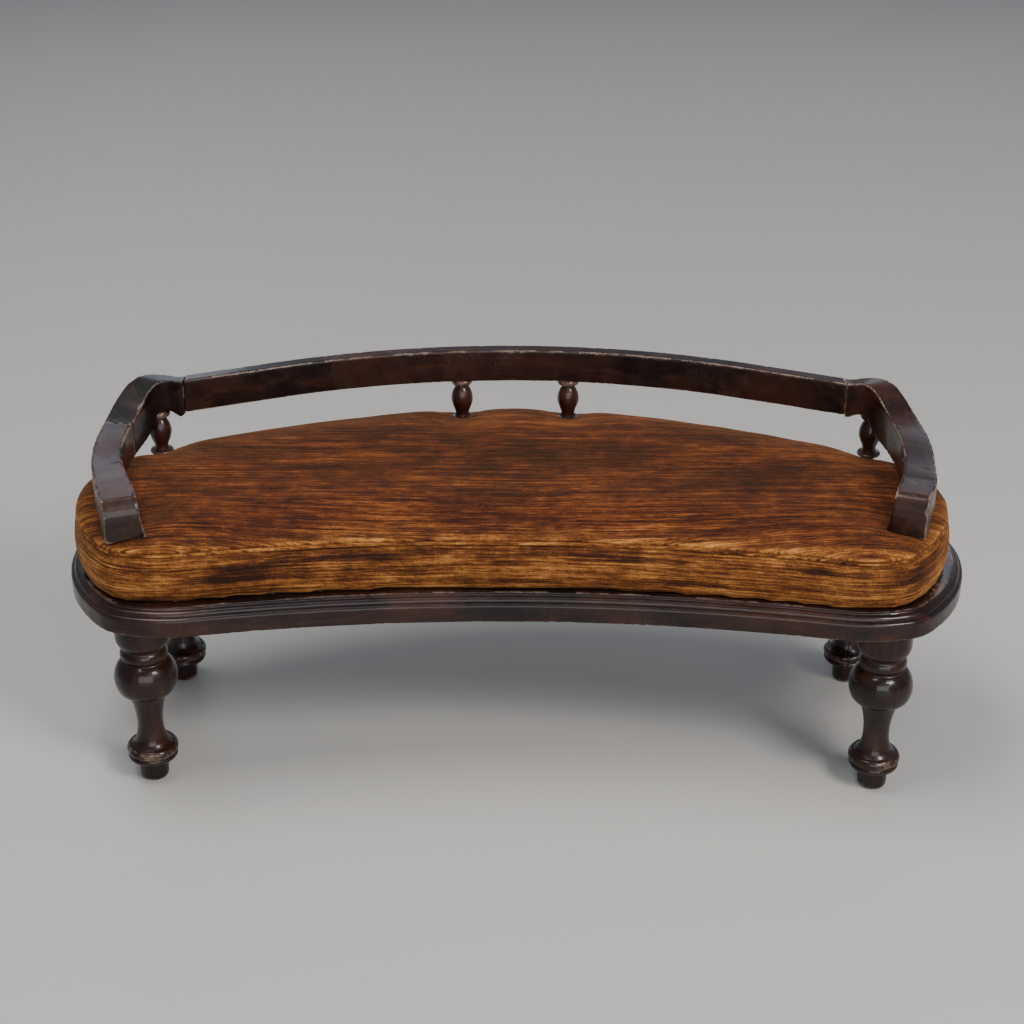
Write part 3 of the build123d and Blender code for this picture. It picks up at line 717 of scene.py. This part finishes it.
def seat_line(inset):
    """Seat outline: the frame's, moved in, shifted and turned a little."""
    line = inset_line(inset)
    cosine, sine = math.cos(SEAT_TURN), math.sin(SEAT_TURN)
    return np.stack([line[:, 0] * cosine - line[:, 1] * sine + SEAT_SHIFT_X,
                     line[:, 0] * sine + line[:, 1] * cosine], 1)


# walked from the middle of the back, so that lengths along the front are counted from its middle
seat_edge = seat_line(SEAT_INSET)
seat_edge = np.roll(seat_edge, len(seat_edge) // 2, axis=0)
seat_walk = np.concatenate([[0], np.cumsum(np.linalg.norm(np.diff(seat_edge, axis=0), axis=1))])
seat_walk -= seat_walk[len(seat_walk) // 2]
seat_along = np.roll(seat_walk, -(len(seat_walk) // 2))


def seat_distance(points):
    """Distance in from the seat's edge and length along it, for plan points in millimetres."""
    inside = np.empty(len(points))
    along = np.empty(len(points))
    for start in range(0, len(points), 4000):
        part = points[start:start + 4000]
        gaps = np.linalg.norm(part[:, None, :] - seat_edge[None, :, :], axis=2)
        nearest = gaps.argmin(1)
        inside[start:start + 4000] = gaps[np.arange(len(part)), nearest]
        along[start:start + 4000] = seat_walk[nearest]
    return inside, along


spindle_spots = [plan_centre(name) for name in SPINDLES]


def foot_gap(points, side):
    """Distance in plan from the outside of an arm foot."""
    centre, outward, forward = foot_plan(side)
    offset = points - centre
    across = np.abs(offset @ outward) - FOOT_HALF[side]
    along = np.abs(offset @ forward - 4.0) - 13.0
    return np.hypot(np.clip(across, 0, None), np.clip(along, 0, None))


def drawn_down(points):
    """How far the cover is drawn down by feet and spindles, in millimetres."""
    depth = np.zeros(len(points))
    for side in (-1, 1):
        centre, outward, forward = foot_plan(side)
        offset = points - centre
        beyond = np.clip((offset @ outward - FOOT_HALF[side] + 3.0) / 8.0, 0.0, 1.0)
        behind = np.clip(0.1 - (offset @ forward) / 22.0, 0.0, 1.0)
        deepest = 1.0 + 9.0 * behind * (0.5 + 0.5 * beyond)
        depth = np.maximum(depth, deepest * np.exp(-foot_gap(points, side) / DRAW_REACH))
    for spot in spindle_spots:
        gap = np.linalg.norm(points - np.array(spot), axis=1) - SPINDLE_RADIUS
        depth = np.maximum(depth, 5.0 * np.exp(-np.clip(gap, 0, None) / DRAW_REACH))
    return depth


def spine_point(x):
    """Point on the seat's long middle line, at the same share of its length."""
    reach = x * 0.80
    return reach, 14.0 - 74.0 * (reach / 350.0) ** 2


def pad_start():
    """Closed block a little smaller than the pad, its top crowned and already drawn down."""
    levels = ((15.0, 198.8), (12.5, 194.4), (0.0, 194.2), (-1.4, 203.0), (-2.0, 213.0),
              (-1.6, 223.0), (-0.4, 232.0), (1.0, SEAM_Z))
    rings = [[(x, y, height) for x, y in seat_line(SEAT_INSET + 1.5 + inset)]
             for inset, height in levels]
    rim = seat_line(SEAT_INSET + 2.5)
    for share in (0.012, 0.028, 0.05, 0.08, 0.13, 0.2, 0.29, 0.4, 0.52, 0.65, 0.78, 0.9, 0.98):
        ring = []
        for x, y in rim:
            sx, sy = spine_point(x)
            ring.append((x + (sx - x) * share, y + (sy - y) * share))
        inside, _ = seat_distance(np.array(ring))
        sag = drawn_down(np.array(ring))
        rings.append([(x, y, SEAM_Z + PAD_CROWN * (1 - math.exp(-d / 6.5)) - s)
                      for (x, y), d, s in zip(ring, inside, sag)])
    return joined_rings(rings)


def eased_field(mesh, field, rounds):
    """A vector for each point, averaged over its neighbours a number of times."""
    edges = edge_array(mesh)
    count = np.ones(len(field))
    np.add.at(count, edges.ravel(), 1)
    for _ in range(rounds):
        total = field.copy()
        np.add.at(total, edges[:, 0], field[edges[:, 1]])
        np.add.at(total, edges[:, 1], field[edges[:, 0]])
        field = total / count[:, None]
    return field


def simulate_pad(pad):
    """Blows the pad up with its seam, hem, and the places round feet and spindles held."""
    co = vertex_array(pad.data) / MM
    inside, _ = seat_distance(co[:, :2])
    held = np.where(co[:, 2] < 200.0, 1.0, 0.0)
    held = np.maximum(held, 0.9 * np.exp(-((co[:, 2] - SEAM_Z) / 3.0) ** 2) * (inside < 9.0))
    top = co[:, 2] > SEAM_Z - 2
    for side in (-1, 1):
        held = np.maximum(held, np.clip(1.4 - foot_gap(co[:, :2], side) / 5.0, 0, 1) * top)
    for spot in spindle_spots:
        gap = np.linalg.norm(co[:, :2] - np.array(spot), axis=1) - SPINDLE_RADIUS
        held = np.maximum(held, np.clip(1.2 - gap / 5.0, 0, 1))
    group = pad.vertex_groups.new(name="held")
    for index, weight in enumerate(held):
        if weight > 0.02:
            group.add([index], float(min(1.0, weight)), "REPLACE")
    cloth = pad.modifiers.new("cloth", "CLOTH")
    settings = cloth.settings
    settings.quality = 6
    settings.mass = 0.3
    settings.tension_stiffness = 12
    settings.compression_stiffness = 8
    settings.shear_stiffness = 5
    settings.bending_stiffness = 4.0
    settings.shrink_min = -0.012
    settings.use_pressure = True
    settings.uniform_pressure_force = 2.0
    settings.vertex_group_mass = "held"
    settings.effector_weights.gravity = 0
    cloth.collision_settings.use_collision = False
    cloth.point_cache.frame_start = 1
    cloth.point_cache.frame_end = CLOTH_FRAMES
    for step in range(1, CLOTH_FRAMES + 1):
        bpy.context.scene.frame_set(step)
    depsgraph = bpy.context.evaluated_depsgraph_get()
    blown = bpy.data.meshes.new_from_object(pad.evaluated_get(depsgraph))
    moved = vertex_array(blown) - co * MM
    bpy.context.scene.frame_set(1)
    pad.modifiers.clear()
    pad.vertex_groups.clear()
    reach = np.linalg.norm(moved, axis=1)
    cap = PUFF_CAP * MM
    share = np.where(reach > 1e-9, cap * np.tanh(reach / cap) / np.maximum(reach, 1e-9), 1.0)
    eased = eased_field(pad.data, moved * share[:, None], PUFF_EASING)
    above_hem = np.clip((co[:, 2] - HEM_Z) / 14.0, 0.0, 1.0)
    set_vertices(pad.data, co * MM + eased * above_hem[:, None])


def seam_height(along):
    """Height of the stitched seam, which wanders a little, in millimetres."""
    return np.array([SEAM_Z + 1.3 * noise.noise(Vector((a / 70.0, 4.2, 0.0))) for a in along])


def build_pad():
    points, faces = pad_start()
    pad = add_object("velvet_pad", mesh_from("velvet_pad", points, faces))
    fix_normals(pad.data)
    remesh = pad.modifiers.new("even", "REMESH")
    remesh.mode = "VOXEL"
    remesh.voxel_size = PAD_VOXEL * MM
    smooth = pad.modifiers.new("ease", "SMOOTH")
    smooth.iterations = 2
    applied(pad)
    simulate_pad(pad)
    subdivide = pad.modifiers.new("finer", "SUBSURF")
    subdivide.levels = 2
    subdivide.render_levels = 2
    applied(pad)
    return pad


def dress_pad(pad):
    """Seam groove, spindle notches and the coordinates that the nap follows."""
    co = vertex_array(pad.data) / MM
    normals = normal_array(pad.data)
    inside, along = seat_distance(co[:, :2])
    seam_z = seam_height(along)
    side = inside < 12.0
    rise = co[:, 2] - seam_z
    groove = 2.2 * np.exp(-(rise / 1.9) ** 2) - 1.1 * np.exp(-((rise - 4.2) / 2.2) ** 2)
    under = 0.9 * np.exp(-((rise + 5.5) / 3.0) ** 2)
    co -= normals * ((groove + under) * side)[:, None]
    for spot in spindle_spots:
        offset = co[:, :2] - np.array(spot)
        gap = np.linalg.norm(offset, axis=1)
        push = np.clip(7.2 - gap, 0, None) * (co[:, 2] < 246.0)
        inner = np.array([-spot[0] * 0.25, -spot[1] - 60.0])
        inner /= np.linalg.norm(inner)
        co[:, :2] += push[:, None] * (offset / np.maximum(gap, 1e-6)[:, None] * 0.4 + inner * 0.8)
    set_vertices(pad.data, co * MM)
    pull = np.zeros(len(co))
    for foot_side in (-1, 1):
        pull += 4.0 * np.exp(-foot_gap(co[:, :2], foot_side) / 30.0)
    over = co[:, 2] > seam_z
    nap = np.stack([np.where(over, co[:, 0], along), np.where(over, co[:, 1] + pull, co[:, 2]),
                    np.where(over, 0.0, 400.0)], 1) * MM
    layer = pad.data.attributes.new("nap", "FLOAT_VECTOR", "POINT")
    layer.data.foreach_set("vector", nap.astype(np.float32).ravel())
    set_attribute(pad.data, "above_seam", np.clip((co[:, 2] - seam_z) / 4.0, -4, 4))
    set_attribute(pad.data, "from_edge", inside * MM)
    # painted shadow: a dark line laid along the seam, where the piping shades the border
    set_attribute(pad.data, "seam_shadow", np.exp(-((co[:, 2] - seam_z) / 1.5) ** 2) * side)
    # painted highlight: a lighter band along the rolled welt just above the seam
    set_attribute(pad.data, "welt_highlight", np.exp(-((co[:, 2] - seam_z - 4.4) / 2.0) ** 2) * side)
    set_attribute(pad.data, "stained", stains(co, along, over))


def stains(co, along, over):
    """Dark worn patches: (length along or x, height or y, half length, half height, on top)."""
    spots = ((-225.0, 224.0, 42.0, 7.0, False), (-255.0, 214.0, 30.0, 4.0, False),
             (268.0, 229.0, 62.0, 4.0, False), (352.0, 222.0, 30.0, 9.0, False),
             (-120.0, 231.0, 50.0, 4.0, False), (90.0, 228.0, 46.0, 5.0, False),
             (40.0, 30.0, 130.0, 45.0, True), (235.0, -20.0, 60.0, 30.0, True),
             (-120.0, 60.0, 90.0, 30.0, True), (180.0, 70.0, 70.0, 26.0, True))
    depth = np.zeros(len(co))
    for centre, level, half_length, half_height, on_top in spots:
        a = (co[:, 0] if on_top else along) - centre
        b = (co[:, 1] if on_top else co[:, 2]) - level
        shape = np.exp(-(a / half_length) ** 2 - (b / half_height) ** 2)
        depth = np.maximum(depth, shape * (over == on_top) * (0.5 if on_top else 1.0))
    return depth


VELVET_STOPS = ((0.34, (0.018, 0.0050, 0.0024)), (0.43, (0.064, 0.0185, 0.0050)),
                (0.50, (0.150, 0.0490, 0.0105)), (0.57, (0.285, 0.1150, 0.0260)),
                (0.68, (0.520, 0.2500, 0.0700)))
# painted shade: the flat middle of the seat's top is darkened by this tint, so that the border and
# the rolled rim read lighter as if lit
TOP_PAINTED_SHADE = (0.70, 0.49, 0.50)
SHEEN_TINT = (1.0, 0.50, 0.20, 1.0)


def velvet(name, has_fields=True):
    """Short pile with streaks along the nap; with fields it also follows the pad's own masks, which
    carry real stains and painted shade and highlights.
    """
    material, tree, shader, place = new_material(name)
    if has_fields:
        nap = node(tree, "ShaderNodeAttribute", attribute_name="nap").outputs["Vector"]
    else:
        nap = place
    warp = noise_node(tree, stretched(tree, nap, (5.0, 5.0, 5.0)), 1.0, 2.0, 0.5)
    bend = node(tree, "ShaderNodeCombineXYZ",
                {"Y": maths(tree, "MULTIPLY", maths(tree, "SUBTRACT", warp, 0.5), 0.0035)}
                ).outputs["Vector"]
    nap = node(tree, "ShaderNodeVectorMath", {0: nap, 1: bend}, operation="ADD").outputs["Vector"]
    broad = noise_node(tree, stretched(tree, nap, (6.0, 130.0, 90.0), 1.0), 1.0, 4.0, 0.6)
    streak = noise_node(tree, stretched(tree, nap, (13.0, 560.0, 90.0), 2.0), 1.0, 3.0, 0.6)
    thread = noise_node(tree, stretched(tree, nap, (60.0, 1300.0, 200.0), 3.0), 1.0, 3.0, 0.7)
    cloud = noise_node(tree, stretched(tree, nap, (7.0, 13.0, 13.0), 4.0), 1.0, 5.0, 0.62)
    mottle = noise_node(tree, stretched(tree, nap, (36.0, 62.0, 62.0), 5.0), 1.0, 5.0, 0.75)
    level = maths(tree, "MULTIPLY", broad, 0.22)
    for part, share in ((streak, 0.46), (thread, 0.40), (cloud, 0.17), (mottle, 0.36)):
        level = plus(tree, level, part, share)
    speckle = noise_node(tree, place, 620.0, 3.0, 0.8)
    level = plus(tree, level, speckle, 0.20)
    level = maths(tree, "SUBTRACT", level, 0.415)
    centre = 0.0
    # painted shade on the flat top away from its rim, both in the level below and in the tint
    if has_fields:
        half_rise = maths(tree, "MULTIPLY", attribute(tree, "above_seam"), 0.5)
        top = ramp(tree, maths(tree, "ADD", half_rise, 0.5), ((0.48, 0.0), (0.56, 1.0)))
        middle = ramp(tree, attribute(tree, "from_edge"), ((0.003, 0.0), (0.024, 1.0)))
        centre = maths(tree, "MULTIPLY", top, middle)
        level = plus(tree, level, centre, -0.045)
        # stained darkens real stains; the seam line is darkened as painted shadow and the welt
        # above it lightened as a painted highlight
        for mask, share in (("stained", -0.13), ("seam_shadow", -0.15), ("welt_highlight", 0.045)):
            level = plus(tree, level, attribute(tree, mask), share)
    colour = ramp(tree, level, VELVET_STOPS)
    colour = mixed(tree, maths(tree, "MULTIPLY", centre, 0.85), colour, TOP_PAINTED_SHADE, "MULTIPLY")
    tree.links.new(colour, shader.inputs["Base Color"])
    set_inputs(shader, {"Roughness": 0.85, "Specular IOR Level": 0.15, "Sheen Weight": 0.16,
                        "Sheen Roughness": 0.35, "Sheen Tint": SHEEN_TINT})
    pile = noise_node(tree, place, 1900.0, 2.0, 0.6)
    height = plus(tree, plus(tree, streak, thread, 0.6), pile, 0.35)
    set_bump(tree, shader, height, 0.55, 0.0014)
    return material


def build_seam(pad):
    """Rolled seam that follows the pad's stitched line all the way round."""
    tree = BVHTree.FromObject(pad, bpy.context.evaluated_depsgraph_get())
    outer = seat_line(SEAT_INSET - 40.0)
    inner = seat_line(SEAT_INSET + 20.0)
    rings = []
    heights = seam_height(seat_along)
    for i in range(len(outer)):
        start = Vector((outer[i][0], outer[i][1], heights[i])) * MM
        end = Vector((inner[i][0], inner[i][1], heights[i])) * MM
        direction = (end - start).normalized()
        hit, _, _, _ = tree.ray_cast(start, direction)
        if hit is None:
            continue
        centre = hit / MM - direction * 0.55
        radius = 1.75 + 0.25 * noise.noise(Vector((seat_along[i] / 9.0, 1.0, 2.0)))
        rings.append([tuple(centre + direction * (-radius * math.cos(a)) + Vector((0, 0, radius
                      * math.sin(a)))) for a in np.linspace(0, 2 * math.pi, 13)[:-1]])
    points, faces = joined_rings(rings, closed_way=True)
    mesh = mesh_from("seam_roll", points, faces)
    fix_normals(mesh)
    seam = add_object("seam_roll", mesh)
    smooth = seam.modifiers.new("even", "SMOOTH")
    smooth.factor = 0.3
    smooth.iterations = 2
    applied(seam)
    shade(seam, velvet("seam_velvet", False), 80)
    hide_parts("piping")


pad = build_pad()
dress_pad(pad)
shade(pad, velvet("seat_velvet"), 180)
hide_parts("velvet_top", "velvet_border", "stuffing")
build_seam(pad)


# ---------------------------------------------------------------- underside: straps and hessian
def woven(name, dark, light, across, along, edge_line=None):
    """Plain weave of warp and weft threads, so many to the metre."""
    material, tree, shader, place = new_material(name)
    warp = node(tree, "ShaderNodeTexWave", {"Vector": place, "Scale": across, "Distortion": 1.5,
                                            "Detail": 2.0}, bands_direction="X").outputs["Fac"]
    weft = node(tree, "ShaderNodeTexWave", {"Vector": place, "Scale": along, "Distortion": 1.5,
                                            "Detail": 2.0}, bands_direction="Y").outputs["Fac"]
    weave = maths(tree, "MAXIMUM", warp, weft)
    gaps = maths(tree, "MULTIPLY", warp, weft)
    fibre = noise_node(tree, place, 900.0, 4.0, 0.7)
    grime = noise_node(tree, place, 12.0, 4.0, 0.6)
    level = maths(tree, "ADD", maths(tree, "MULTIPLY", weave, 0.5),
                  maths(tree, "MULTIPLY", fibre, 0.5))
    colour = ramp(tree, level, ((0.30, dark), (0.80, light)))
    colour = mixed(tree, ramp(tree, grime, ((0.45, 0.0), (0.75, 0.6))), colour, dark)
    tree.links.new(colour, shader.inputs["Base Color"])
    set_inputs(shader, {"Roughness": 0.92, "Specular IOR Level": 0.2})
    height = plus(tree, plus(tree, weave, gaps, 0.6), fibre, 0.5)
    set_bump(tree, shader, height, 0.8, 0.0008)
    return material


jute = woven("jute_strap", (0.16, 0.105, 0.055), (0.46, 0.35, 0.22), 160.0, 110.0)
burlap = woven("hessian_cloth", (0.13, 0.09, 0.05), (0.40, 0.31, 0.20), 90.0, 90.0)
STRAP_Z = 195.6
HESSIAN_Z = 197.75
# long straps: y and half length; cross straps: x
LONG_STRAPS = ((-52.0, 316.0), (2.0, 316.0), (56.0, 258.0))
CROSS_STRAPS = [step * 86.0 for step in range(-3, 4)]
# section of a strap, 48 wide and 1.5 thick: (across, rise)
STRAP_SECTION = ([(a, 0.75) for a in np.linspace(-23.2, 23.2, 15)] + [(24.0, 0.3), (24.0, -0.3)]
                 + [(a, -0.75) for a in np.linspace(23.2, -23.2, 15)]
                 + [(-24.0, -0.3), (-24.0, 0.3)])


def strap(fixed, low, high, crossings, lengthwise, first):
    """Flat woven strap that passes over and under the straps it crosses."""
    rings = []
    steps = round((high - low) / 5.0)
    for i in range(steps + 1):
        s = low + (high - low) * i / steps
        lift = 0.0
        for number, crossing in enumerate(crossings):
            under = -1 if (number + first) % 2 else 1
            lift += under * 0.95 * math.exp(-((s - crossing) / 26.0) ** 4)
        ring = []
        for j, (across, rise) in enumerate(STRAP_SECTION):
            wander = 0.35 * noise.noise(Vector((s / 18.0, across / 9.0, fixed)))
            edge = across + 0.5 * noise.noise(Vector((s / 30.0, fixed, j * 0.02)))
            place = (s, fixed + edge) if lengthwise else (fixed + edge, s)
            ring.append((*place, STRAP_Z + lift + rise + wander * 0.4))
        rings.append(ring)
    return joined_rings(rings)


def strap_group(name, straps, material):
    """One mesh of several straps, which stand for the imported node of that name."""
    points, faces = [], []
    for some_points, some_faces in straps:
        shift = len(points)
        points += some_points
        faces += [tuple(shift + v for v in face) for face in some_faces]
    mesh = mesh_from(name + "_woven", points, faces)
    fix_normals(mesh)
    made = add_object(name + "_woven", mesh)
    shade(made, material, 50)
    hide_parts(name)


strap_group("webbing_long", [strap(y, -reach, reach, CROSS_STRAPS, True, number)
                             for number, (y, reach) in enumerate(LONG_STRAPS)], jute)
cross_ends = [(edge_y(x, RAIL_WIDTH, False) - 24.0, edge_y(x, RAIL_WIDTH, True) + 24.0)
              for x in CROSS_STRAPS]
long_lines = [y for y, _ in LONG_STRAPS]
strap_group("webbing_cross", [strap(x, *ends, long_lines, False, number) for number, (x, ends)
                              in enumerate(zip(CROSS_STRAPS, cross_ends), start=1)], jute)


def build_hessian():
    """Cloth over the straps, bellied a little between them, as a thin two-sided sheet."""
    rim = seat_line(SEAT_INSET + 6.0)
    rings = []
    for share in np.linspace(0.0, 0.97, 26):
        ring = []
        for x, y in rim:
            sx, sy = spine_point(x)
            px, py = x + (sx - x) * share, y + (sy - y) * share
            belly = 0.5 * noise.noise(Vector((px / 22.0, py / 22.0, 3.0)))
            ring.append((px, py, HESSIAN_Z + belly * min(1.0, share * 8)))
        rings.append(ring)
    points, faces = joined_rings(rings)
    mesh = mesh_from("hessian_cloth", points, faces[:-2])
    made = add_object("hessian_cloth", mesh)
    shade(made, burlap, 60)
    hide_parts("hessian")


build_hessian()


# ---------------------------------------------------------------- small hidden fittings
def plain_steel(name, colour, rough):
    material, tree, shader, place = new_material(name)
    spots = noise_node(tree, place, 600.0, 4.0, 0.6)
    tree.links.new(mixed(tree, ramp(tree, spots, ((0.45, 0.0), (0.7, 0.8))), colour,
                         (0.10, 0.045, 0.022)), shader.inputs["Base Color"])
    shader.inputs["Metallic"].default_value = 0.85
    tree.links.new(ramp(tree, spots, ((0.3, rough), (0.7, rough + 0.3))),
                   shader.inputs["Roughness"])
    return material


def bare_wood(name):
    material, tree, shader, place = new_material(name)
    figure = noise_node(tree, stretched(tree, place, (30.0, 30.0, 300.0)), 1.0, 4.0, 0.6)
    tree.links.new(ramp(tree, figure, ((0.3, (0.24, 0.15, 0.08)), (0.7, (0.45, 0.31, 0.18)))),
                   shader.inputs["Base Color"])
    shader.inputs["Roughness"].default_value = 0.7
    return material


tack_steel = plain_steel("tack_steel", (0.09, 0.09, 0.10), 0.42)
screw_steel = plain_steel("screw_steel", (0.24, 0.22, 0.20), 0.38)
beech = bare_wood("dowel_beech")
for names, material in ((("webbing_tacks", "cover_tacks"), tack_steel),
                        (("arm_foot_screws",), screw_steel),
                        (("rail_dowels", "arm_rail_dowels", "arm_foot_dowels"), beech)):
    for name in names:
        nodes[name].data.materials.clear()
        nodes[name].data.materials.append(material)
        bevel = nodes[name].modifiers.new("soft_edge", "BEVEL")
        bevel.width = 0.15 * MM
        bevel.segments = 2
        bevel.limit_method = "ANGLE"


# ---------------------------------------------------------------- floor, world and lights
floor_mesh = bpy.data.meshes.new("floor")
floor_mesh.from_pydata([(-6, -6, 0), (6, -6, 0), (6, 6, 0), (-6, 6, 0)], [], [(0, 1, 2, 3)])
floor = bpy.data.objects.new("floor", floor_mesh)
bpy.context.scene.collection.objects.link(floor)
floor_material = bpy.data.materials.new("floor")
floor_material.use_nodes = True
floor_shader = floor_material.node_tree.nodes["Principled BSDF"]
floor_shader.inputs["Base Color"].default_value = (0.42, 0.405, 0.38, 1.0)
floor_shader.inputs["Roughness"].default_value = 0.6
floor_mesh.materials.append(floor_material)

world = bpy.data.worlds.new("studio")
world.use_nodes = True
world.node_tree.nodes["Background"].inputs["Color"].default_value = (0.72, 0.80, 0.95, 1.0)
world.node_tree.nodes["Background"].inputs["Strength"].default_value = 0.34
bpy.context.scene.world = world


def area_light(name, place, target, size, power, colour):
    data = bpy.data.lights.new(name, "AREA")
    data.shape = "RECTANGLE"
    data.size, data.size_y = size
    data.energy = power
    data.color = colour
    made = bpy.data.objects.new(name, data)
    made.location = place
    made.rotation_euler = (Vector(target) - Vector(place)).to_track_quat("-Z", "Y").to_euler()
    bpy.context.scene.collection.objects.link(made)


middle = (0.0, 0.0, 0.2)
area_light("key", (1.5, -1.7, 2.2), middle, (0.9, 0.9), 74.0, (1.0, 0.95, 0.88))
area_light("overhead", (-0.7, -0.1, 2.6), middle, (1.8, 0.8), 50.0, (1.0, 0.97, 0.93))
area_light("window_left", (-1.0, 2.6, 1.5), middle, (0.7, 1.2), 5.0, (0.74, 0.85, 1.0))
area_light("window_right", (1.2, 2.6, 1.5), middle, (0.7, 1.2), 5.0, (0.74, 0.85, 1.0))
area_light("front_fill", (0.3, -2.9, 1.0), middle, (2.4, 1.5), 46.0, (0.93, 0.96, 1.0))
